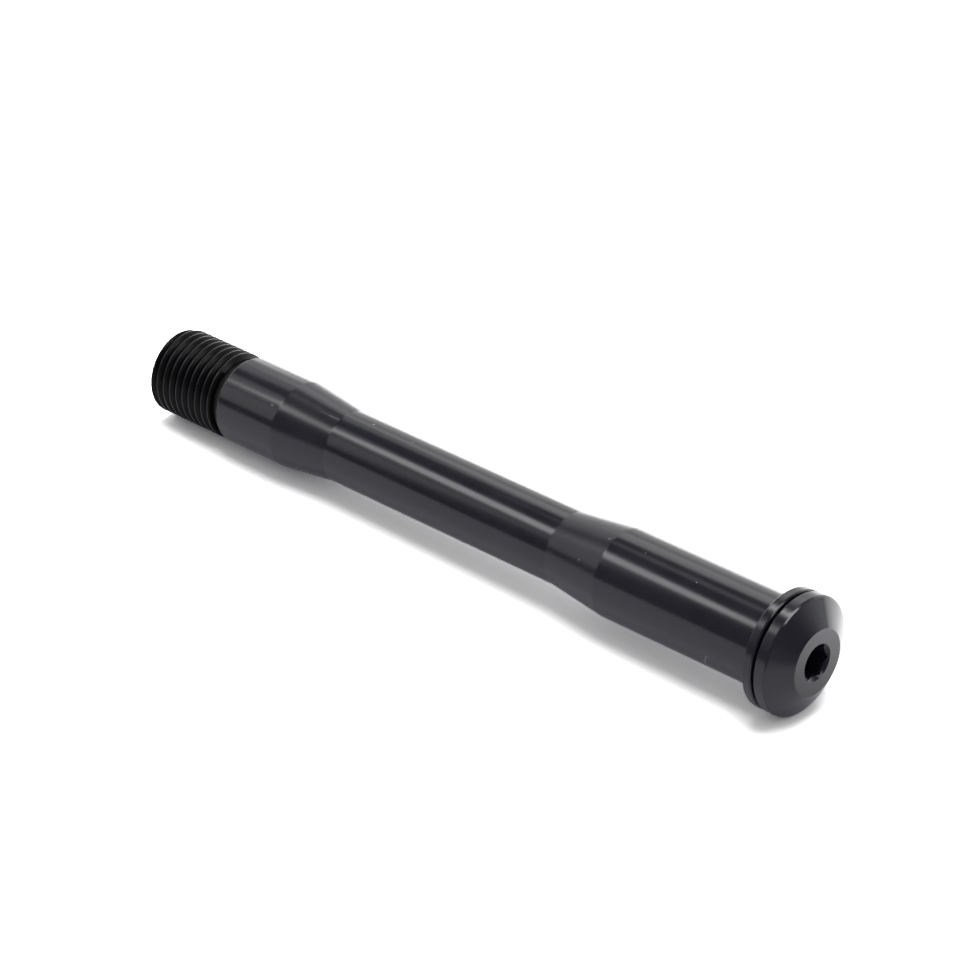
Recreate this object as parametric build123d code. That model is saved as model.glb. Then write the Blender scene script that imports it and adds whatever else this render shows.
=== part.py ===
from build123d import *
import os
from math import cos, radians, sin, tan

# Bicycle thru axle, standing on its threaded end. Millimetres, +Z along the axle from the thread to the head.

# Shaft: the waist takes up whatever the other lengths leave of the grip length
grip_length = 130.0
shaft_diameter = 14.95
waist_diameter = 12.4
thread_length = 16.3
thread_land_length = 12.5
head_land_length = 31.35
taper_length = 10.9

# Thread: right hand, cut up to a relief groove that slopes up to the full shaft
thread_diameter = 14.75
thread_pitch = 1.5
thread_depth = 0.85
thread_flank_angle = 30.0
thread_root_flat = 0.3
thread_start_angle = -115.0
relief_flat = 0.25
relief_clearance = 0.12
relief_slope_angle = 30.0
end_chamfer = 0.4

# Ring under the head: it slips on over the shaft, bears against the fork and is a little smaller than the rim
ring_thickness = 1.65
ring_setback = 0.06
ring_slip_clearance = 0.05
ring_end_float = 0.05
ring_edge_break = 0.2

# Neck: a shallow relief inside the ring, so that the ring seats square against the collar
neck_depth = 0.2
neck_lead = 0.4

# Head: a collar that the ring runs against, a short rim, a cone and a flat face
collar_height = 0.45
collar_diameter = 16.2
head_diameter = 19.65
rim_height = 2.15
rim_edge_break = 0.25
cone_height = 2.35
face_diameter = 11.0

# Hexagon socket for the key, broached into a drilled hole
key_across_flats = 5.0
key_clearance = 0.05
socket_depth = 6.0
socket_mouth_diameter = 6.2
socket_turn = 51.4

# Blind bore from the thread end, which lightens the axle
bore_diameter = 8.0
bore_mouth_chamfer = 0.5
web_thickness = 5.0
drill_point_angle = 118.0

# How far a cutter runs past the surface that it cuts
cutter_overrun = 0.1

# Points along each flank of the thread's section, where the radius changes evenly with the angle
flank_steps = 6

shaft_radius = shaft_diameter / 2
waist_radius = waist_diameter / 2
thread_radius = thread_diameter / 2
thread_root_radius = thread_radius - thread_depth
relief_radius = thread_root_radius - relief_clearance
neck_radius = shaft_radius - neck_depth
collar_radius = collar_diameter / 2
head_radius = head_diameter / 2
face_radius = face_diameter / 2
bore_radius = bore_diameter / 2
socket_flat_radius = (key_across_flats + key_clearance) / 2
drill_point_slope = 1 / tan(radians(drill_point_angle / 2))

# Heights along the axle, from the thread end
relief_slope_bottom = thread_length - (shaft_radius - relief_radius) / tan(radians(relief_slope_angle))
relief_bottom = relief_slope_bottom - relief_flat
first_taper_bottom = thread_length + thread_land_length
waist_bottom = first_taper_bottom + taper_length
second_taper_top = grip_length - head_land_length
waist_top = second_taper_top - taper_length
neck_bottom = grip_length - neck_lead
ring_top = grip_length + ring_thickness
collar_bottom = ring_top + ring_end_float
head_bottom = collar_bottom + collar_height
rim_top = head_bottom + rim_height
face_height = rim_top + cone_height
socket_bottom = face_height - socket_depth
socket_tip = socket_bottom - socket_flat_radius * drill_point_slope
bore_tip = socket_tip - web_thickness


def turned(points):
    """Solid of revolution about Z from a closed outline of (radius, height) points."""
    outline = Polyline(*points, close=True)
    return revolve(make_face(Plane.XZ * outline), Axis.Z)


def polar(radius, angle):
    """Point of the section plane at a radius and an angle in degrees."""
    return (radius * cos(radians(angle)), radius * sin(radians(angle)))


def spiral(start_radius, end_radius, start_angle, end_angle):
    """Curve whose radius changes evenly with the angle: a flank of the thread, cut square to the axle."""
    radius_step = (end_radius - start_radius) / flank_steps
    angle_step = (end_angle - start_angle) / flank_steps
    return Spline(*[
        polar(start_radius + radius_step * step, start_angle + angle_step * step)
        for step in range(flank_steps + 1)
    ])


def threaded_end():
    """The thread: its square section, turned once per pitch as it is extruded, then chamfered at the end."""
    flank_width = thread_depth * tan(radians(thread_flank_angle))
    crest_width = thread_pitch - thread_root_flat - 2 * flank_width
    degrees_per_length = 360 / thread_pitch
    crest_end = crest_width * degrees_per_length
    root_start = crest_end + flank_width * degrees_per_length
    root_end = root_start + thread_root_flat * degrees_per_length
    section = make_face([
        CenterArc((0, 0), thread_radius, 0, crest_end),
        spiral(thread_radius, thread_root_radius, crest_end, root_start),
        CenterArc((0, 0), thread_root_radius, root_start, root_end - root_start),
        spiral(thread_root_radius, thread_radius, root_end, 360),
    ]).face()
    twist = relief_bottom * degrees_per_length
    rod = Solid.extrude_linear_with_rotation(section, (0, 0, 0), (0, 0, relief_bottom), twist)
    lead_in = turned([
        (thread_radius - end_chamfer - cutter_overrun, -cutter_overrun),
        (thread_radius + cutter_overrun, -cutter_overrun),
        (thread_radius + cutter_overrun, end_chamfer + cutter_overrun),
    ])
    return Rot(0, 0, thread_start_angle) * rod - lead_in


def shaft_and_head():
    """Everything above the thread as it leaves the lathe, from the relief groove to the face of the head."""
    return turned([
        (0, relief_bottom),
        (relief_radius, relief_bottom),
        (relief_radius, relief_slope_bottom),
        (shaft_radius, thread_length),
        (shaft_radius, first_taper_bottom),
        (waist_radius, waist_bottom),
        (waist_radius, waist_top),
        (shaft_radius, second_taper_top),
        (shaft_radius, neck_bottom),
        (neck_radius, neck_bottom + neck_depth),
        (neck_radius, collar_bottom),
        (collar_radius, collar_bottom),
        (collar_radius, head_bottom),
        (head_radius - rim_edge_break, head_bottom),
        (head_radius, head_bottom + rim_edge_break),
        (head_radius, rim_top - rim_edge_break),
        (head_radius - rim_edge_break, rim_top),
        (face_radius, face_height),
        (0, face_height),
    ])


def socket():
    """What the key goes into: hexagon walls, a countersunk mouth and the point of the drill below."""
    corner_radius = socket_flat_radius / cos(radians(30))
    mouth_radius = socket_mouth_diameter / 2
    hexagon = RegularPolygon(corner_radius, 6, rotation=socket_turn)
    walls = Pos(0, 0, socket_bottom) * extrude(hexagon, socket_depth + cutter_overrun)
    countersink = turned([
        (0, face_height + cutter_overrun),
        (mouth_radius + cutter_overrun, face_height + cutter_overrun),
        (0, face_height - mouth_radius),
    ])
    drill_point = turned([
        (0, socket_bottom + cutter_overrun),
        (socket_flat_radius, socket_bottom + cutter_overrun),
        (socket_flat_radius, socket_bottom),
        (0, socket_tip),
    ])
    return walls + countersink + drill_point


def bore():
    """The blind bore: chamfered mouth, straight wall and the point of the drill."""
    return turned([
        (0, -cutter_overrun),
        (bore_radius + bore_mouth_chamfer + cutter_overrun, -cutter_overrun),
        (bore_radius, bore_mouth_chamfer),
        (bore_radius, bore_tip - bore_radius * drill_point_slope),
        (0, bore_tip),
    ])


def axle():
    """The turned axle: one piece from the thread to the head."""
    return threaded_end() + shaft_and_head() - socket() - bore()


def ring():
    """The washer under the head, with its outer edges broken."""
    inner_radius = shaft_radius + ring_slip_clearance
    outer_radius = head_radius - ring_setback
    return turned([
        (inner_radius, grip_length),
        (outer_radius - ring_edge_break, grip_length),
        (outer_radius, grip_length + ring_edge_break),
        (outer_radius, ring_top - ring_edge_break),
        (outer_radius - ring_edge_break, ring_top),
        (inner_radius, ring_top),
    ])


os.makedirs("parts", exist_ok=True)
export_step(axle(), "parts/axle.step")
export_step(ring(), "parts/ring.step")
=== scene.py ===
# %% [markdown]
# # A bicycle thru axle
#
# The axle is a bar of aluminium, turned on a lathe, threaded at one end and anodised black. It has two
# pieces: the axle itself and a loose ring under its head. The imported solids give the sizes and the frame.
# Here both get a finer mesh, with rounded edges that catch the light, and a finish made of nodes.

# %% Load the frame
from math import cos, pi, radians, sin, tan

import bmesh
import bpy
from mathutils import Matrix, Vector


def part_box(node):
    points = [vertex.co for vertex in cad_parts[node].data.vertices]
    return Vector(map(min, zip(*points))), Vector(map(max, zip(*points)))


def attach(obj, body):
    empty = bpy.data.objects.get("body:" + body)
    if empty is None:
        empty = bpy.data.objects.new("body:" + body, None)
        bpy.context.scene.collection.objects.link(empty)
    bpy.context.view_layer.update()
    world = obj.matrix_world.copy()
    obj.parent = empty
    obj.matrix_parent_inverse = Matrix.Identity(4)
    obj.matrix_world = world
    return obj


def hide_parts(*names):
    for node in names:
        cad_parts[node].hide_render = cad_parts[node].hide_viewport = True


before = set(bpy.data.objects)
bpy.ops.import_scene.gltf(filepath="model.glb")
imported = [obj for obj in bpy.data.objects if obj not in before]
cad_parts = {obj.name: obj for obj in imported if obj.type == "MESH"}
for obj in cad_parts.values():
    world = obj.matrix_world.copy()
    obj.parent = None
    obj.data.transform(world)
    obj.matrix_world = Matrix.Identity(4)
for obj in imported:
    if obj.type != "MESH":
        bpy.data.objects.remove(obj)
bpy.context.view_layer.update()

# %% [markdown]
# ## Sizes of the axle
#
# The drawing of a turned part is a list of diameters and lengths. These are in millimetres, as on the
# drawing, and the meshes are scaled to metres once, at the end. What the frame knows is read from it: the
# overall length, the head's radius, and the ring's radius and place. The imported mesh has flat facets, so
# its box is not quite the same on all sides, and the smallest side keeps the turned faces inside it. The
# heights along the axle follow from the lengths, so that a change of one length moves everything beside
# it.

# %% Sizes of the axle, in millimetres
MM = 0.001
axle_low, axle_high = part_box("axle")
ring_low, ring_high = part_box("ring")


def inner_radius(low, high):
    """Radius of the largest cylinder about the axle's line that fits in a box."""
    return min(high.x, high.y, -low.x, -low.y) / MM


face_height = axle_high.z / MM
head_radius = inner_radius(axle_low, axle_high)
ring_radius = inner_radius(ring_low, ring_high)
ring_bottom = ring_low.z / MM
ring_top = ring_high.z / MM

shaft_radius = 7.475
waist_radius = 6.2
thread_length = 16.3
thread_land_length = 12.5
head_land_length = 31.35
taper_length = 10.9

neck_depth = 0.2
neck_lead = 0.4
ring_slip_clearance = 0.05
ring_end_float = 0.05
ring_edge = 0.2
collar_radius = 8.1
collar_height = 0.45
rim_height = 2.15
rim_edge = 0.25
face_radius = 5.5

neck_radius = shaft_radius - neck_depth
ring_inner_radius = shaft_radius + ring_slip_clearance
first_taper_bottom = thread_length + thread_land_length
waist_bottom = first_taper_bottom + taper_length
second_taper_top = ring_bottom - head_land_length
waist_top = second_taper_top - taper_length
neck_bottom = ring_bottom - neck_lead
collar_bottom = ring_top + ring_end_float
head_bottom = collar_bottom + collar_height
rim_top = head_bottom + rim_height
print(f"axle: {face_height:.2f} long, head {2 * head_radius:.2f} across")
print(f"ring: {2 * ring_radius:.2f} across, from {ring_bottom:.2f} to {ring_top:.2f}")

# %% [markdown]
# ## Sizes of the thread, the socket and the bore
#
# The thread is right hand, with a pitch of 1.5 mm. It runs out into a relief groove, where the cutter
# could be drawn back before it met the full shaft. The head has a hexagon socket for a 5 mm key. The bore
# that lightens the axle is out of sight: it is drilled from the thread end and stops short of the socket
# in the cone of the drill.

# %% Sizes of the thread, the socket and the bore, in millimetres
thread_radius = 7.375
thread_pitch = 1.5
thread_depth = 0.85
thread_flank_angle = radians(30)
thread_root_flat = 0.3
thread_start = radians(-115)
relief_clearance = 0.12
relief_flat = 0.25
relief_slope_angle = radians(30)
end_chamfer = 0.4

root_radius = thread_radius - thread_depth
flank_width = thread_depth * tan(thread_flank_angle)
crest_width = thread_pitch - thread_root_flat - 2 * flank_width
relief_radius = root_radius - relief_clearance
relief_slope_bottom = thread_length - (shaft_radius - relief_radius) / tan(relief_slope_angle)
relief_bottom = relief_slope_bottom - relief_flat

socket_flat_radius = 2.525
socket_depth = 6.0
socket_mouth_radius = 3.1
socket_turn = radians(51.4)
drill_point_angle = radians(118)
drill_slope = 1 / tan(drill_point_angle / 2)
socket_bottom = face_height - socket_depth
socket_tip = socket_bottom - socket_flat_radius * drill_slope

bore_radius = 4.0
bore_chamfer = 0.5
web_thickness = 5.0
bore_tip = socket_tip - web_thickness
print(f"thread: {relief_bottom / thread_pitch:.1f} turns, crest {crest_width:.2f} wide")
print(f"socket: {socket_depth:.1f} deep, bore: {bore_tip:.1f} deep")

# %% [markdown]
# ## Rounded outlines
#
# A real turned edge is never quite sharp: a thin line of light runs along it. A Bevel modifier could
# round the mesh afterwards, but on a part with a round outline it is simpler to round the outline before
# it is turned. Each corner is given as (radius, height, rounding). The curve between the two tangent
# points has the corner as its control point, and one more row just outside each tangent point keeps the
# shading of the long faces even.

# %% Rounding an outline
ROUND_STEPS = 4
SUPPORT = 0.5


def rounded(corners, steps=ROUND_STEPS, support=SUPPORT):
    """Points (radius, height) of an outline whose corners are rounded."""
    points = [Vector(corner[:2]) for corner in corners]
    outline = [points[0]]
    for before, corner, after, (_, _, rounding) in zip(points, points[1:], points[2:], corners[1:]):
        back = (before - corner).normalized()
        ahead = (after - corner).normalized()
        reach = rounding * tan((pi - back.angle(ahead)) / 2)
        start = corner + back * reach
        end = corner + ahead * reach
        if support:
            outline.append(start + back * reach * support)
        for step in range(steps + 1):
            share = step / steps
            outline.append(start.lerp(corner, share).lerp(corner.lerp(end, share), share))
        if support:
            outline.append(end + ahead * reach * support)
    outline.append(points[-1])
    return outline


print("a square corner of 1 mm becomes", len(rounded([(0, 0, 0), (9, 0, 1), (9, 9, 0)])), "points")

# %% [markdown]
# ## Turning
#
# Blender's Spin operator could turn an outline into a mesh. Here the rings are made in code instead,
# because the hexagon of the key socket and the thread join the turned faces, and they need the same
# columns of points. The columns start at a corner of the hexagon, so that all six corners fall on a
# column.

# %% A shell made of rings
COLUMNS = 240
SHARP_ANGLE = radians(32)
angles = [socket_turn + 2 * pi * column / COLUMNS for column in range(COLUMNS)]


class Shell:
    """A mesh that is built from rings of points round the axle's line."""

    def __init__(self, name):
        self.name = name
        self.mesh = bmesh.new()

    def ring(self, radius, height):
        """One ring. The radius and the height are numbers, or functions of the angle."""
        radius_at = radius if callable(radius) else lambda angle: radius
        height_at = height if callable(height) else lambda angle: height
        return [
            self.mesh.verts.new((radius_at(a) * cos(a), radius_at(a) * sin(a), height_at(a)))
            for a in angles
        ]

    def skin(self, rings):
        """Faces between each ring and the next. They face outwards where the rings go up."""
        for low, high in zip(rings, rings[1:]):
            for i in range(COLUMNS):
                j = (i + 1) % COLUMNS
                self.mesh.faces.new((low[i], low[j], high[j], high[i]))

    def tip(self, ring, height):
        """A cone from a ring to a point on the axle's line."""
        point = self.mesh.verts.new((0, 0, height))
        for i in range(COLUMNS):
            self.mesh.faces.new((ring[i], ring[(i + 1) % COLUMNS], point))

    def turn(self, outline):
        """Rings along an outline, with the faces between them."""
        rings = [self.ring(radius, height) for radius, height in outline]
        self.skin(rings)
        return rings

    def finish(self, body, node):
        """The mesh as an object in metres, in place of a node of the frame."""
        bmesh.ops.recalc_face_normals(self.mesh, faces=self.mesh.faces)
        bmesh.ops.scale(self.mesh, vec=(MM, MM, MM), verts=self.mesh.verts)
        data = bpy.data.meshes.new(self.name)
        self.mesh.to_mesh(data)
        self.mesh.free()
        data.shade_smooth()
        data.set_sharp_from_angle(angle=SHARP_ANGLE)
        piece = bpy.data.objects.new(self.name, data)
        bpy.context.scene.collection.objects.link(piece)
        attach(piece, body)
        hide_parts(node)
        print(self.name, len(data.vertices), "points,", len(data.polygons), "faces")
        return piece


print("each ring has", COLUMNS, "points")

# %% [markdown]
# ## The ring
#
# The ring is a plain washer that turns freely under the head and bears on the fork. A cylinder with a
# hole cut by a Boolean would do, but its edges would need a bevel after that. Turned from an outline, it
# gets them at once. The outline starts and ends in the flat underside, away from the corners, and the
# last ring of points is joined to the first one.

# %% Turn the ring
HIDDEN_ROUND = 0.06
CHAMFER_ROUND = 0.1
EDGE_ROUND = 0.12
RING_SEAM = 0.6

seam = (ring_inner_radius + RING_SEAM, ring_bottom, 0)
ring_outline = rounded([
    seam,
    (ring_radius - ring_edge, ring_bottom, CHAMFER_ROUND),
    (ring_radius, ring_bottom + ring_edge, EDGE_ROUND),
    (ring_radius, ring_top - ring_edge, EDGE_ROUND),
    (ring_radius - ring_edge, ring_top, CHAMFER_ROUND),
    (ring_inner_radius, ring_top, HIDDEN_ROUND),
    (ring_inner_radius, ring_bottom, HIDDEN_ROUND),
    seam,
])
ring_shell = Shell("bearing_ring")
ring_rows = ring_shell.turn(ring_outline[:-1])
ring_shell.skin([ring_rows[-1], ring_rows[0]])
bearing_ring = ring_shell.finish("ring", "ring")

# %% [markdown]
# ## One turn of the thread
#
# Seen from the side, a thread is the same shape again and again: a flat crest, a sloping flank, a narrow
# root and a flank back up. Here that shape is one outline, a pitch long, from the middle of one crest to
# the middle of the next. Crests and roots are rounded a little, as a die or a roller leaves them, so that
# each crest carries a thin line of light.

# %% Outline of one turn of the thread
CREST_ROUND = 0.07
ROOT_ROUND = 0.08
THREAD_STEPS = 2

turn_outline = rounded([
    (thread_radius, -crest_width / 2, 0),
    (thread_radius, 0, CREST_ROUND),
    (root_radius, flank_width, ROOT_ROUND),
    (root_radius, flank_width + thread_root_flat, ROOT_ROUND),
    (thread_radius, 2 * flank_width + thread_root_flat, CREST_ROUND),
    (thread_radius, thread_pitch - crest_width / 2, 0),
], steps=THREAD_STEPS, support=0)[:-1]
print(len(turn_outline), "points in a turn")

# %% [markdown]
# ## The threaded end
#
# A Screw modifier makes a thread from one outline, but its ends then stop in the air. Here the thread is
# a sheet of points: every column holds the outline of the thread, and each column stands a little higher
# than the one before, one pitch in a full turn. The end of the last column meets the start of the first
# one, one turn further up. The sheet is made too long and cut by two flat planes, and the lathe's chamfer
# takes the crests down at the end. Flat rings of triangles close the cuts later, when there is a ring of
# points inside each to close them to.

# %% A sheet of thread, cut to length
SPARE_TURNS = 2
BELOW_END = 0.5
CUT_TOLERANCE = 1e-6


def thread_sheet(shell):
    """The thread as an open tube, longer than needed at both ends."""
    last_turn = int(relief_bottom / thread_pitch) + SPARE_TURNS
    outline = [
        (radius, height + thread_pitch * turn)
        for turn in range(-SPARE_TURNS, last_turn)
        for radius, height in turn_outline
    ]
    columns = []
    for a in angles:
        rise = thread_pitch * (a - thread_start) / (2 * pi)
        column = []
        for radius, height in outline:
            z = height + rise
            r = min(radius, thread_radius - end_chamfer + max(z, -BELOW_END))
            column.append(shell.mesh.verts.new((r * cos(a), r * sin(a), z)))
        columns.append(column)
    for i, column in enumerate(columns):
        last = i == COLUMNS - 1
        neighbour = columns[0] if last else columns[i + 1]
        shift = len(turn_outline) if last else 0
        for k in range(len(column) - 1 - shift):
            shell.mesh.faces.new((column[k], neighbour[k + shift], neighbour[k + 1 + shift], column[k + 1]))


def cut_level(shell, height, keep_above):
    """Cuts the sheet at a height, drops what lies outside and returns the edges of the cut."""
    mesh = shell.mesh
    cut = bmesh.ops.bisect_plane(
        mesh, geom=mesh.verts[:] + mesh.edges[:] + mesh.faces[:], dist=CUT_TOLERANCE,
        plane_co=(0, 0, height), plane_no=(0, 0, 1), clear_inner=keep_above, clear_outer=not keep_above,
    )
    return [part for part in cut["geom_cut"] if isinstance(part, bmesh.types.BMEdge)]


def flat_ring(shell, outer_edges, inner_ring, up):
    """Flat faces between a cut edge and a ring of points inside it."""
    inner_edges = [
        shell.mesh.edges.get((a, b)) or shell.mesh.edges.new((a, b))
        for a, b in zip(inner_ring, inner_ring[1:] + inner_ring[:1])
    ]
    bmesh.ops.triangle_fill(
        shell.mesh, edges=outer_edges + inner_edges, use_beauty=True, use_dissolve=False,
        normal=(0, 0, 1 if up else -1),
    )


axle_shell = Shell("thru_axle")
thread_sheet(axle_shell)
end_cut = cut_level(axle_shell, 0, keep_above=True)
relief_cut = cut_level(axle_shell, relief_bottom, keep_above=False)
print("thread:", len(axle_shell.mesh.faces), "faces, cut edges", len(end_cut), "and", len(relief_cut))

# %% [markdown]
# ## The shaft and the head
#
# Everything from the relief groove to the mouth of the socket came off the lathe in one piece, so it is
# one outline here too: shoulder, land, taper, waist, taper, land, the neck inside the ring, the collar
# that the ring runs against, and the head with its rim, cone and flat face. Stacked cylinders and cones
# would leave faces inside. The bends of the tapers are so flat that even a large radius leaves a clean
# break in the bands of light, and the rim has small roundings that catch a thin line.

# %% Turned part of the axle
RELIEF_ROUND = 0.6
SHOULDER_ROUND = 0.25
TAPER_ROUND = 3
NECK_ROUND = 0.08
RIM_ROUND = 0.16
FACE_ROUND = 0.25

shaft_outline = rounded([
    (relief_radius, relief_bottom, 0),
    (relief_radius, relief_slope_bottom, RELIEF_ROUND),
    (shaft_radius, thread_length, SHOULDER_ROUND),
    (shaft_radius, first_taper_bottom, TAPER_ROUND),
    (waist_radius, waist_bottom, TAPER_ROUND),
    (waist_radius, waist_top, TAPER_ROUND),
    (shaft_radius, second_taper_top, TAPER_ROUND),
    (shaft_radius, neck_bottom, NECK_ROUND),
    (neck_radius, neck_bottom + neck_depth, NECK_ROUND),
    (neck_radius, collar_bottom, HIDDEN_ROUND),
    (collar_radius, collar_bottom, HIDDEN_ROUND),
    (collar_radius, head_bottom, HIDDEN_ROUND),
    (head_radius - rim_edge, head_bottom, EDGE_ROUND),
    (head_radius, head_bottom + rim_edge, RIM_ROUND),
    (head_radius, rim_top - rim_edge, CHAMFER_ROUND),
    (head_radius - rim_edge, rim_top, CHAMFER_ROUND),
    (face_radius, face_height, FACE_ROUND),
    (socket_mouth_radius, face_height, 0),
])
shaft_rows = axle_shell.turn(shaft_outline)
flat_ring(axle_shell, relief_cut, shaft_rows[0], up=True)
print("shaft and head:", len(shaft_rows), "rings")

# %% [markdown]
# ## The socket and the bore
#
# The socket was drilled, countersunk and then broached to a hexagon. A Boolean could cut a prism out of
# the head, but it leaves long thin faces round the mouth. Here the rings of the socket use the columns of
# the shaft, with a radius that changes with the angle: the countersink is the row of faces between the
# round mouth and the hexagon, and its edge rises and falls as it meets the flats. The point of the drill
# starts a hair inside the flats, at the bottom. The bore is turned like the shaft, from its chamfered
# mouth to the point of its own drill, and a last flat ring closes the end of the thread round it.

# %% Socket and bore
HEXAGON_STEP = radians(60)
DRILL_SHARE = 0.995
DRILL_DROP = 0.01
BORE_MOUTH_ROUND = 0.2
BORE_END_ROUND = 0.3
BORE_TIP_RADIUS = 0.5


def hexagon(angle):
    """Distance of the socket's wall from the axle's line, at an angle."""
    within = (angle - socket_turn) % HEXAGON_STEP - HEXAGON_STEP / 2
    return socket_flat_radius / cos(within)


socket_rows = [
    shaft_rows[-1],
    axle_shell.ring(hexagon, lambda a: face_height - socket_mouth_radius + hexagon(a)),
    axle_shell.ring(hexagon, socket_bottom),
    axle_shell.ring(socket_flat_radius * DRILL_SHARE, socket_bottom - DRILL_DROP),
]
axle_shell.skin(socket_rows)
axle_shell.tip(socket_rows[-1], socket_tip)

bore_rows = axle_shell.turn(rounded([
    (bore_radius + bore_chamfer, 0, 0),
    (bore_radius, bore_chamfer, BORE_MOUTH_ROUND),
    (bore_radius, bore_tip - bore_radius * drill_slope, BORE_END_ROUND),
    (BORE_TIP_RADIUS, bore_tip - BORE_TIP_RADIUS * drill_slope, 0),
]))
axle_shell.tip(bore_rows[-1], bore_tip)
flat_ring(axle_shell, end_cut, bore_rows[0], up=False)
thru_axle = axle_shell.finish("axle", "axle")

# %% [markdown]
# ## Shader sums as Python
#
# A finish is built from masks: numbers between 0 and 1 that say where something shows. In the node editor
# every sum is a Math node. This small class wraps an output socket, so that `1 - mask * 0.5` adds those
# nodes by itself. Any other node comes from its `node` method, which sets the node's options first and
# its sockets after that.

# %% A socket that takes part in sums
class Wire:
    """An output socket of a node tree."""

    def __init__(self, tree, socket=None):
        self.tree = tree
        self.socket = socket

    def node(self, kind, settings=None, inputs=None, output=0):
        """Adds a node, sets its options, then its sockets, and returns one of its outputs."""
        node = self.tree.nodes.new(kind)
        for name, value in (settings or {}).items():
            setattr(node, name, value)
        for key, value in (inputs or {}).items():
            if isinstance(value, Wire):
                self.tree.links.new(value.socket, node.inputs[key])
            else:
                node.inputs[key].default_value = value
        return Wire(self.tree, node.outputs[output] if node.outputs else None)

    def math(self, operation, first, second=0.0, clamp=False):
        """A Math node. Wires and numbers can stand on either side."""
        settings = {"operation": operation, "use_clamp": clamp}
        return self.node("ShaderNodeMath", settings, {0: first, 1: second})

    def vector(self, operation, first, second=(0, 0, 0), scale=1.0):
        """A Vector Math node: sockets 0 and 1 are the vectors and 3 is the scale."""
        output = "Value" if operation in ("LENGTH", "DISTANCE", "DOT_PRODUCT") else "Vector"
        inputs = {0: first, 1: second, 3: scale}
        return self.node("ShaderNodeVectorMath", {"operation": operation}, inputs, output)

    def __add__(self, other):
        return self.math("ADD", self, other)

    def __radd__(self, other):
        return self.math("ADD", other, self)

    def __sub__(self, other):
        return self.math("SUBTRACT", self, other)

    def __rsub__(self, other):
        return self.math("SUBTRACT", other, self)

    def __mul__(self, other):
        return self.math("MULTIPLY", self, other)

    def __rmul__(self, other):
        return self.math("MULTIPLY", other, self)

    def __truediv__(self, other):
        return self.math("DIVIDE", self, other)

    def __pow__(self, other):
        return self.math("POWER", self, other)

    def step(self, low, high):
        """0 below low, 1 above high, and a smooth rise between them."""
        return self.node(
            "ShaderNodeMapRange", {"interpolation_type": "SMOOTHSTEP"},
            {"Value": self, "From Min": low, "From Max": high},
        )

    def mix(self, first, second):
        """A colour between two, with this wire as the share of the second, by the node's colour sockets."""
        return self.node("ShaderNodeMix", {"data_type": "RGBA"}, {0: self, 6: first, 7: second}, output=2)


def grey(level):
    """A neutral colour."""
    return (level, level, level, 1)


def new_tree(owner):
    """The empty node tree of a material or a world, as the start of a wire."""
    owner.use_nodes = True
    owner.node_tree.nodes.clear()
    return Wire(owner.node_tree)


print("wires ready")

# %% [markdown]
# ## Black anodised aluminium
#
# Anodising grows a hard clear skin on the metal, and the dye in it is black. What one sees is a dark body
# under a smooth skin that reflects like glass: sharp enough to show a lamp's edge, soft enough to blur
# it. A plain black Principled shader would look like plastic. Three things keep it from that: the fine
# rings that the lathe's tool left, slow changes in how the skin took the dye, and a few specks and
# scratches. All of them are patterns in the piece's own coordinates, so they stay put when it turns. The
# specks are scattered by a Voronoi pattern, in which only a few cells have one. The scratches are short
# straight lines, each given by its two ends, so that they can be put where they belong.

# %% The finish
RING_SCALE = 5.0
RING_DETAIL = 2.0
RING_RADIUS_SHARE = 0.7
RING_ROUGHNESS = 0.05
RING_BUMP_STRENGTH = 0.5
RING_BUMP_DEPTH = 0.0000012
CLOUD_SCALE = 0.16
CLOUD_DETAIL = 3.0
CLOUD_EDGES = (0.3, 0.7)
CLOUD_ROUGHNESS = 0.07
SPECK_SCALE = 0.33
SPECK_EDGES = (0.02, 0.045)
SPECK_CHANCE = (0.93, 0.94)
SPECK_COLOUR = (0.30, 0.30, 0.31, 1)
SPECK_ROUGHNESS = 0.3
SCRATCH_CORE = 0.4
GRAIN_TURN = 0.25


def near_line(start, place, first, last):
    """Distance from a straight line between two points of the piece."""
    line = Vector(last) - Vector(first)
    away = start.vector("SUBTRACT", place, first)
    share = start.vector("DOT_PRODUCT", away, line / line.length_squared)
    foot = start.vector("SCALE", line, scale=start.math("ADD", share, 0.0, clamp=True))
    return start.vector("DISTANCE", away, foot)


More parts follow.
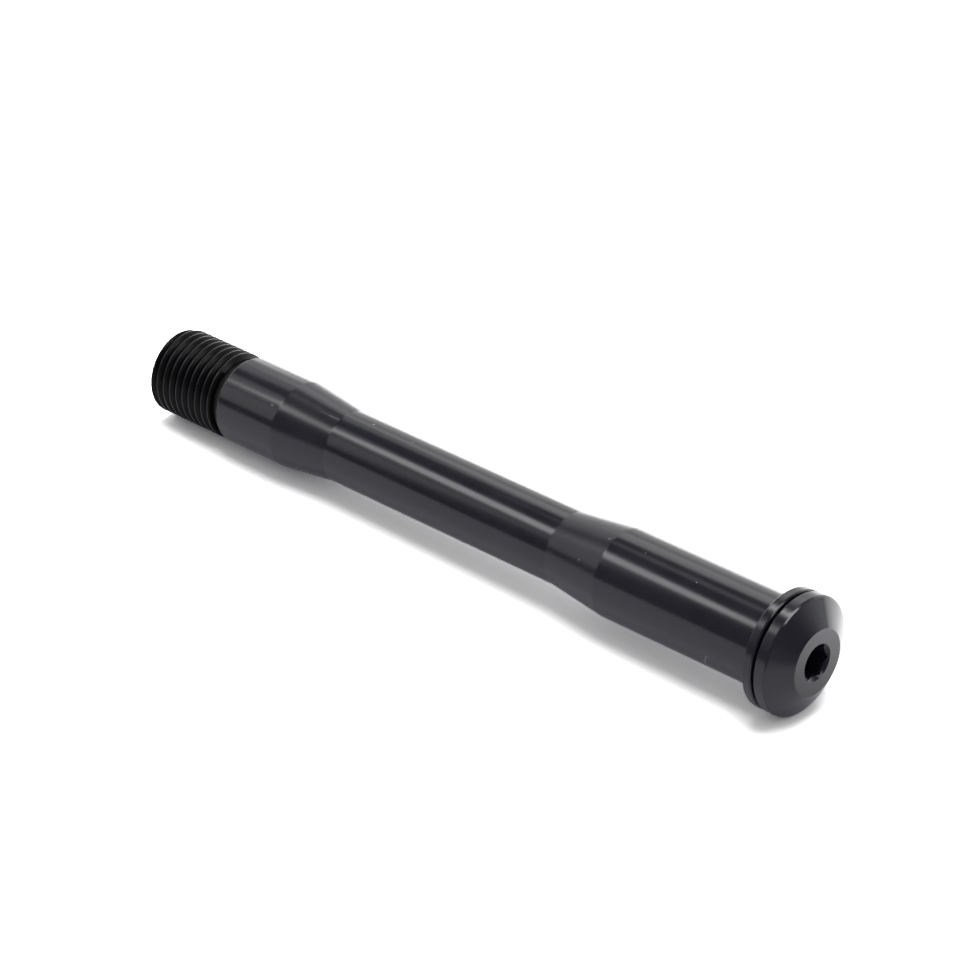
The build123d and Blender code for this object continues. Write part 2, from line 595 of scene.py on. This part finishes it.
def anodised(name, dark, light, gloss, ior, grain=0.0, scratches=()):
    """A satin black skin with turning marks, cloudy patches, specks and scratches."""
    material = bpy.data.materials.new(name)
    start = new_tree(material)
    place = start.vector("SCALE", start.node("ShaderNodeTexCoord", output="Object"), scale=1 / MM)
    radius = start.vector("LENGTH", start.vector("MULTIPLY", place, (1, 1, 0)))
    height = start.node("ShaderNodeSeparateXYZ", None, {0: place}, output="Z")
    along = height + RING_RADIUS_SHARE * radius

    rings = start.node(
        "ShaderNodeTexNoise", {"noise_dimensions": "1D"},
        {"W": along, "Scale": RING_SCALE, "Detail": RING_DETAIL},
    )
    clouds = start.node(
        "ShaderNodeTexNoise", None, {"Vector": place, "Scale": CLOUD_SCALE, "Detail": CLOUD_DETAIL},
    )
    cells = {"Vector": place, "Scale": SPECK_SCALE}
    speck_distance = start.node("ShaderNodeTexVoronoi", None, cells, output="Distance")
    speck_colour = start.node("ShaderNodeTexVoronoi", None, cells, output="Color")
    speck_chance = start.node("ShaderNodeSeparateColor", None, {0: speck_colour}, output="Red")
    specks = (1 - speck_distance.step(*SPECK_EDGES)) * speck_chance.step(*SPECK_CHANCE)
    for first, last, width, strength in scratches:
        line = 1 - near_line(start, place, first, last).step(SCRATCH_CORE * width, width)
        specks = start.math("MAXIMUM", specks, line * strength)

    body = clouds.step(*CLOUD_EDGES).mix(dark, light)
    colour = specks.mix(body, SPECK_COLOUR)
    roughness = gloss + CLOUD_ROUGHNESS * clouds + RING_ROUGHNESS * rings + SPECK_ROUGHNESS * specks
    bump = start.node(
        "ShaderNodeBump", None,
        {"Strength": RING_BUMP_STRENGTH, "Distance": RING_BUMP_DEPTH, "Height": rings}, output="Normal",
    )
    skin = start.node(
        "ShaderNodeBsdfPrincipled", None,
        {"Base Color": colour, "Roughness": roughness, "IOR": ior, "Normal": bump,
         "Anisotropic": grain, "Anisotropic Rotation": GRAIN_TURN},
    )
    start.node("ShaderNodeOutputMaterial", None, {"Surface": skin})
    return material


print("a finish has turning marks, clouds, specks and scratches")

# %% [markdown]
# ## One finish for each way of cutting
#
# The whole axle went through the same bath, but the skin looks as smooth as the metal under it. The lands
# and the waist are the smoothest. The tapers are a little softer, because the tool moved in and out as it
# went along. The rim and the ring show turning marks so fine that they only stretch a light across them,
# which is what the Anisotropic value does. The thread's crests are softer still. Its grooves are matt, with
# a darker colour and nearly no reflection, which is painted shade for the dark in the thread's roots. The
# relief groove beside it is rougher and a slightly lighter grey, a painted sheen for the light its slope
# catches. One material with masks for all of these would be hard to read, so each has its own, made by the
# same function.

# %% Finishes of the axle and of the ring
SMOOTH = {
    "dark": (0.0078, 0.0082, 0.0155, 1), "light": (0.0112, 0.0118, 0.0205, 1), "gloss": 0.10, "ior": 1.6,
}
# Painted shade: the grooves get a darker colour and a weaker reflection than the crests
GROOVE_SHADE = {
    "dark": (0.0022, 0.0020, 0.0020, 1), "light": (0.0036, 0.0032, 0.0030, 1), "gloss": 0.28, "ior": 1.28,
}
# Painted sheen: a rougher, slightly lighter grey for the light that the relief's slope catches
RELIEF = {
    "dark": (0.010, 0.010, 0.010, 1), "light": (0.018, 0.017, 0.016, 1), "gloss": 0.30, "ior": 1.5,
}
CREST = SMOOTH | {"gloss": 0.18, "ior": 1.38}
TAPER = SMOOTH | {"gloss": 0.165}
TURNED = SMOOTH | {"gloss": 0.17, "grain": 0.9}

# Each scratch: first end, last end and width in millimetres, then how light it is
SCRATCHES = [
    ((5.17, -5.39, 27.16), (5.18, -5.39, 27.39), 0.20, 0.35),
    ((2.33, -6.22, 35.87), (2.21, -6.06, 37.57), 0.12, 0.10),
    ((2.21, -6.06, 37.57), (1.95, -5.91, 39.47), 0.12, 0.26),
    ((-0.26, -6.19, 45.10), (-0.26, -6.19, 45.30), 0.20, 0.8),
    ((2.42, -6.95, 97.65), (2.22, -7.04, 97.89), 0.16, 0.4),
    ((2.07, -7.18, 104.7), (2.07, -7.18, 104.9), 0.14, 0.2),
    ((7.24, 1.85, 121.31), (6.37, 3.91, 120.24), 0.18, 0.35),
]
AXLE_FINISHES = {
    "axle_black_anodised": SMOOTH | {"scratches": SCRATCHES},
    "thread_groove_painted_shade": GROOVE_SHADE,
    "rim_turned": TURNED,
    "relief_painted_sheen": RELIEF,
    "thread_crest": CREST,
    "taper_black_anodised": TAPER | {"scratches": SCRATCHES},
}
for name, look in AXLE_FINISHES.items():
    thru_axle.data.materials.append(anodised(name, **look))
bearing_ring.data.materials.append(anodised("ring_turned", **TURNED))
print("finishes:", [m.name for piece in (thru_axle, bearing_ring) for m in piece.data.materials])

# %% [markdown]
# ## Which face gets which finish
#
# In the viewport the faces would be picked by hand and the material assigned to them. Here the place of a
# face tells what it belongs to: its height along the axle and its distance from the axle's line. The
# hexagon socket takes the finish of the crests, because a broached wall is not as bright as a turned one.

# %% Assign the finishes
CREST_DEPTH = 0.04
RIM_DEPTH = 0.02
RELIEF_MARGIN = 0.05


def finish_at(radius, z):
    """Name of the finish of a face of the axle."""
    outside = radius > bore_radius + bore_chamfer
    tapering = first_taper_bottom < z < waist_bottom or waist_top < z < second_taper_top
    # The thread's grooves take the finish with painted shade, and the crests take a plain one
    if z < relief_slope_bottom and outside:
        return "thread_groove_painted_shade" if radius < thread_radius - CREST_DEPTH else "thread_crest"
    if z > socket_bottom and radius < socket_mouth_radius:
        return "thread_crest"
    if radius > head_radius - RIM_DEPTH:
        return "rim_turned"
    # The relief groove takes the finish with a painted sheen
    if z < thread_length - RELIEF_MARGIN and outside:
        return "relief_painted_sheen"
    if tapering and radius > waist_radius:
        return "taper_black_anodised"
    return "axle_black_anodised"


places = {name: index for index, name in enumerate(AXLE_FINISHES)}
counts = dict.fromkeys(AXLE_FINISHES, 0)
for face in thru_axle.data.polygons:
    x, y, z = face.center / MM
    name = finish_at((x * x + y * y) ** 0.5, z)
    face.material_index = places[name]
    counts[name] += 1
print("faces of each finish:", counts)

# %% [markdown]
# ## The table
#
# In its own frame the axle stands on its thread. In the picture it lies on a table, touching it with the
# crests of the thread and with the rim of the head. Turning the axle would take it out of its frame, so
# the table is turned instead: its up is square to the line through those two points, and everything in
# the studio is placed by how far it is to the right, how far away and how high, as the camera sees the
# table.

# %% Directions on the table
CAMERA_AZIMUTH = radians(50.938)
CAMERA_ELEVATION = radians(35.875)
thread_contact = Vector((0, thread_radius, end_chamfer)) * MM
rim_contact = Vector((0, head_radius, head_bottom + rim_edge)) * MM
table_up = (rim_contact - thread_contact).cross(Vector((1, 0, 0))).normalized()
table_up *= -1 if table_up.y > 0 else 1
to_camera = Vector((
    sin(CAMERA_AZIMUTH) * cos(CAMERA_ELEVATION),
    -cos(CAMERA_AZIMUTH) * cos(CAMERA_ELEVATION),
    sin(CAMERA_ELEVATION),
))
table_right = table_up.cross(to_camera).normalized()
table_away = table_up.cross(table_right).normalized()
middle = (thread_contact + rim_contact) / 2


def on_table(right, away, up):
    """A direction, given as the camera sees the table."""
    return table_right * right + table_away * away + table_up * up


print("table up", tuple(round(v, 3) for v in table_up), "right", tuple(round(v, 3) for v in table_right))

# %% [markdown]
# ## The floor
#
# The floor is a sheet of white card. In the picture it is overexposed: pure white right up to the soft
# shadow. More light would make it so, but it would wash out the axle as well. Instead the card's colour
# is above white for the camera's own rays, by Is Camera Ray, which adds no light to the axle, and the
# shadow keeps its shape. Light that bounces off the card sees plain white paper.
#
# The lower side of the axle mirrors the card, and there light and shade are painted into the card's
# colour: painted light behind the axle, painted shade in front of it, and nearly dark where the table
# ends. Mirrored rays are glossy rays, so these painted tones are mixed by Is Glossy Ray, each along a
# direction on the table. A faint painted glow, for those rays alone, lifts the shadow that the axle sees
# of itself. From below the card is clear, so that a camera on that side sees the axle and not the back of
# the card.

# %% Card
FLOOR_SIZE = 6.0
CARD_SEEN = 2.5
CARD_PAPER = 0.9
# Painted light (far, side) and painted shade (near, edge) on the card for mirrored rays, and a painted glow
CARD_FAR = 2.3
CARD_SIDE = 1.7
CARD_NEAR = 0.62
CARD_EDGE = 0.12
CARD_GLOW = (0.136, 0.136, 0.160, 1)
TO_BACK, BACK_EDGES = (1, 1.2, 0), (-0.01, 0.05)
TO_FRONT, FRONT_EDGES = (0.5, -0.87, 0), (0.085, 0.15)
TO_SIDE, SIDE_EDGES = (1, 0.3, 0), (0.09, 0.25)

floor_data = bpy.data.meshes.new("card")
floor_corners = [(-1, -1), (1, -1), (1, 1), (-1, 1)]
floor_data.from_pydata(
    [middle + on_table(x, y, 0) * FLOOR_SIZE / 2 for x, y in floor_corners], [], [(0, 1, 2, 3)],
)
floor = bpy.data.objects.new("card", floor_data)
bpy.context.scene.collection.objects.link(floor)

card = bpy.data.materials.new("white_card")
start = new_tree(card)
camera_ray = start.node("ShaderNodeLightPath", output="Is Camera Ray")
glossy_ray = start.node("ShaderNodeLightPath", output="Is Glossy Ray")
behind = start.node("ShaderNodeNewGeometry", output="Backfacing")
place = start.vector("SUBTRACT", start.node("ShaderNodeNewGeometry", output="Position"), middle)
back = start.vector("DOT_PRODUCT", place, on_table(*TO_BACK))
front = start.vector("DOT_PRODUCT", place, on_table(*TO_FRONT))
side = start.vector("DOT_PRODUCT", place, on_table(*TO_SIDE))
# Painted light behind the axle, painted shade in front of it and where the table ends
bright = side.step(*SIDE_EDGES).mix(grey(CARD_FAR), grey(CARD_SIDE))
mirrored = back.step(*BACK_EDGES).mix(grey(CARD_NEAR), bright)
mirrored = front.step(*FRONT_EDGES).mix(mirrored, grey(CARD_EDGE))
tone = camera_ray.mix(glossy_ray.mix(grey(CARD_PAPER), mirrored), grey(CARD_SEEN))
paper = start.node("ShaderNodeBsdfDiffuse", None, {"Color": tone})
glow = start.node("ShaderNodeEmission", None, {"Color": CARD_GLOW})
lifted = start.node("ShaderNodeAddShader", None, {0: paper, 1: glow})
lit = start.node("ShaderNodeMixShader", None, {0: glossy_ray, 1: paper, 2: lifted})
clear = start.node("ShaderNodeBsdfTransparent")
sheet = start.node("ShaderNodeMixShader", None, {0: behind, 1: lit, 2: clear})
start.node("ShaderNodeOutputMaterial", None, {"Surface": sheet})
card.cycles.emission_sampling = "NONE"
floor_data.materials.append(card)
print("card faces up:", floor_data.polygons[0].normal.dot(table_up) > 0)

# %% [markdown]
# ## The room
#
# A black glossy thing shows the room round it more than its own colour. The camera sees a white room. In
# the reflections the room is dark, as in a studio with its lights off, so that the soft boxes stand out
# as bands, and it grows pale on one side, to the right, where the head mirrors a white wall. What falls
# on matt surfaces is an even, soft light. A picture of a studio could do all this, but a few nodes keep
# each part of it under control.

# %% World
ROOM_FILL = 0.32
ROOM_DARK = 0.15
ROOM_PALE = 1.0
ROOM_SEEN = 1.0
TO_PALE = (0.93, 0.36, 0)
PALE_FROM = 0.6
PALE_RISE = 0.4
PALE_POWER = 2.6

world = bpy.data.worlds.new("studio_room")
bpy.context.scene.world = world
start = new_tree(world)
camera_ray = start.node("ShaderNodeLightPath", output="Is Camera Ray")
glossy_ray = start.node("ShaderNodeLightPath", output="Is Glossy Ray")
clear_ray = start.node("ShaderNodeLightPath", output="Is Transmission Ray")
towards = start.node("ShaderNodeTexCoord", output="Generated")
facing_pale = start.vector("DOT_PRODUCT", towards, on_table(*TO_PALE).normalized())
pale = start.math("MAXIMUM", (facing_pale - PALE_FROM) / PALE_RISE, 0.0) ** PALE_POWER
walls = pale.mix(grey(ROOM_DARK), grey(ROOM_PALE))
seen = glossy_ray.mix(grey(ROOM_FILL), walls)
room = start.math("MAXIMUM", camera_ray, clear_ray).mix(seen, grey(ROOM_SEEN))
background = start.node("ShaderNodeBackground", None, {"Color": room, "Strength": 1.0})
start.node("ShaderNodeOutputWorld", None, {"Surface": background})
print("room fill", ROOM_FILL, "dark", ROOM_DARK, "pale side", ROOM_PALE)

# %% [markdown]
# ## The soft boxes
#
# The bands of light on the shaft are mirrored lamps and walls, drawn out along the axle. Ten flat lamps
# make them. A wide wall stands behind the axle, with a box leaning over it and two strips of glow along
# its foot. A narrow box high on the left makes the bright line along the shaft, with a glow round it. A
# wall on the left and a small box above make the fainter bands. Two small strong boxes, overhead and on
# the right, make the glints on the head's edges.
#
# A lamp's brightness is given as its radiance, where 1 is as bright as white paper in plain light,
# because that is what a reflection shows. Only the wall behind lights matt surfaces as well. All the
# others show in reflections alone, so they can be set by what the shaft mirrors without changing the
# card. Where two lamps overlap, each lies in a plane of its own, because a ray that meets two lamps at
# the same distance counts only one of them.

# %% Soft boxes
WALL = "back_wall"

# Each lamp: centre, then its two sides, all as (right, away, up) on the table in metres, and its radiance
SOFT_BOXES = {
    WALL: ((0.4, 0.82, 0.475), (3.2, 0, 0), (0, 0, 0.95), 0.78),
    "back_box": ((0.12, 0.74, 0.60), (0.5, 0, 0), (0, -0.2, 0.2), 0.72),
    "strip_box": ((-0.55, 0.074, 0.60), (0.19, 0, 0), (0, 0.278, 0), 3.0),
    "left_wall": ((-1.0, 0.24, 0.475), (0, 0.72, 0), (0, 0, 0.51), 0.70),
    "strip_glow": ((-0.62, 0.145, 0.62), (0.37, 0, 0), (0, 0.50, 0), 0.7),
    "back_glow": ((0.4, 0.80, 0.14), (3.2, 0, 0), (0, 0, 0.28), 0.2),
    "left_glow": ((-0.6, 0.78, 0.10), (1.2, 0, 0), (0, 0, 0.20), 1.2),
    "small_box": ((-0.19, 0.30, 0.60), (0.10, 0, 0), (0, 0.12, 0), 0.6),
    "top_box": ((-0.03, 0.08, 0.61), (0.14, 0, 0), (0, 0.14, 0), 34.0),
    "edge_box": ((0.70, -0.37, 0.60), (0.22, 0, 0), (0, 0.46, 0), 6.0),
}


def place_axes(thing, at, x_axis, y_axis, z_axis):
    """Puts an object at a point, with its own axes along three directions."""
    turn = Matrix((x_axis, y_axis, z_axis)).transposed().to_4x4()
    thing.matrix_world = Matrix.Translation(at) @ turn


def soft_box(name, place, width, height, radiance):
    """A rectangular lamp that faces the axle."""
    data = bpy.data.lights.new(name, "AREA")
    data.shape = "RECTANGLE"
    across = on_table(*width)
    along = on_table(*height)
    data.size = across.length
    data.size_y = along.length
    data.energy = radiance * pi * data.size * data.size_y
    lamp = bpy.data.objects.new(name, data)
    bpy.context.scene.collection.objects.link(lamp)
    centre = on_table(*place)
    facing = across.cross(along).normalized()
    if facing.dot(centre) < 0:
        across = -across
        facing = -facing
    place_axes(lamp, middle + centre, across.normalized(), along.normalized(), facing)
    lamp.visible_camera = False
    lamp.visible_diffuse = name == WALL


for name, box in SOFT_BOXES.items():
    soft_box(name, *box)
print("soft boxes:", list(SOFT_BOXES))

# %% [markdown]
# ## The light overhead
#
# The shadow beside the axle is dark at the contact and fades out within about a centimetre, as under a
# large soft light straight above. A sun with a wide disc does this and lights the whole card alike, where
# a near lamp would leave a bright spot. It is kept out of the reflections, where the soft boxes stand for
# it.

# %% Sun
KEY = 0.55
KEY_DISC = radians(40)
TO_KEY = (0.08, 0.07, 0.99)

sun = bpy.data.lights.new("overhead_light", "SUN")
sun.energy = KEY * pi
sun.angle = KEY_DISC
overhead = bpy.data.objects.new("overhead_light", sun)
bpy.context.scene.collection.objects.link(overhead)
overhead.rotation_mode = "QUATERNION"
overhead.rotation_quaternion = on_table(*TO_KEY).to_track_quat("Z", "Y")
overhead.visible_glossy = False

# %% [markdown]
# ## The camera
#
# The camera stands where the picture was taken from: its place comes from the outlines and the edge
# circles of the axle there. It is given as a point to aim at, two angles, a distance and a roll, because
# the axle's own frame stands upright while the table is turned. The view transform is Standard, so that
# white card comes out as white.

# %% Camera
CAMERA_AIM = Vector((-0.739, -4.454, 68.0)) * MM
CAMERA_DISTANCE = 0.6177
CAMERA_ROLL = radians(114.524)
CAMERA_LENS = 146.08
CAMERA_SENSOR = 36

level = Vector((cos(CAMERA_AZIMUTH), sin(CAMERA_AZIMUTH), 0))
upright = to_camera.cross(level)
right = level * cos(CAMERA_ROLL) + upright * sin(CAMERA_ROLL)
camera_data = bpy.data.cameras.new("camera")
camera_data.sensor_width = CAMERA_SENSOR
camera_data.lens = CAMERA_LENS
camera = bpy.data.objects.new("camera", camera_data)
bpy.context.scene.collection.objects.link(camera)
place_axes(camera, CAMERA_AIM + to_camera * CAMERA_DISTANCE, right, to_camera.cross(right), to_camera)
bpy.context.scene.camera = camera
bpy.context.scene.view_settings.view_transform = "Standard"
print("camera at", tuple(round(v, 4) for v in camera.location))
